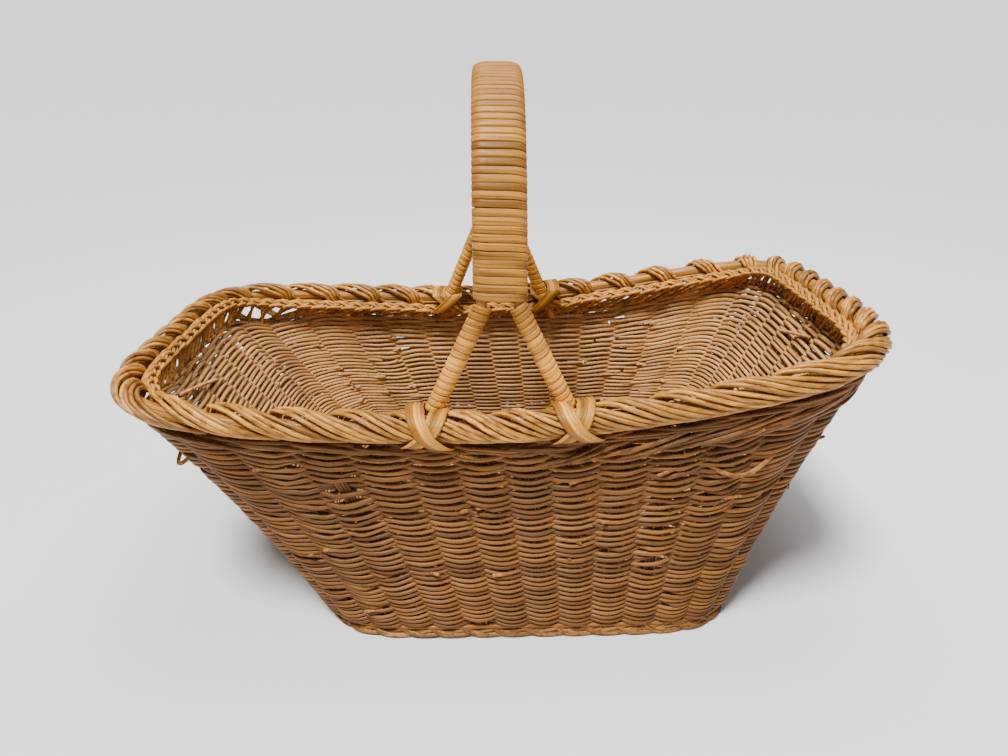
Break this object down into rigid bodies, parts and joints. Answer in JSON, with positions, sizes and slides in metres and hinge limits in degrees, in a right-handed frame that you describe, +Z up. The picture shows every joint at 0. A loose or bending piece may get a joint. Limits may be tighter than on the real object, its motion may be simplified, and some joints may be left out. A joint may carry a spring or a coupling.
{
  "type": "wicker basket",
  "caption": "Long flared wicker basket of woven round reed with a rolled border, an inner braid and a fixed arched handle wound with flat cane and lashed to the rim.",
  "frame": {"origin": "on the floor under the middle of the rim", "axes": "+X along the length towards the higher end, +Y across towards the back, +Z up"},
  "size_m": [0.505, 0.2928, 0.358],
  "materials": {
    "wall_reed": "semi-gloss honey brown reed",
    "base_reed": "satin brown reed",
    "base_stick": "satin brown rod",
    "core_cane": "satin tan rod",
    "border_reed": "semi-gloss golden reed",
    "flat_cane": "semi-gloss golden cane"
  },
  "bodies": {
    "root": {"woven_wall": "wall_reed", "upper_weave": "wall_reed", "top_wale": "wall_reed", "foot_border": "wall_reed", "base_mat": "base_reed", "border_core": "core_cane", "border_roll": "border_reed", "inner_braid": "border_reed", "handle_rod_left": "core_cane", "handle_rod_right": "core_cane", "handle_filler_left": "core_cane", "handle_filler_right": "core_cane", "bow_wrap": "flat_cane", "base_stick_1": "base_stick", "base_stick_2": "base_stick", "base_stick_3": "base_stick", "base_stick_4": "base_stick", "base_stick_5": "base_stick", "leg_wrap_front_left": "flat_cane", "leg_wrap_front_right": "flat_cane", "leg_wrap_back_left": "flat_cane", "leg_wrap_back_right": "flat_cane", "lashing_front_left_under": "flat_cane", "lashing_front_left_over": "flat_cane", "lashing_front_right_under": "flat_cane", "lashing_front_right_over": "flat_cane", "lashing_back_left_under": "flat_cane", "lashing_back_left_over": "flat_cane", "lashing_back_right_under": "flat_cane", "lashing_back_right_over": "flat_cane"}
  },
  "joints": []
}
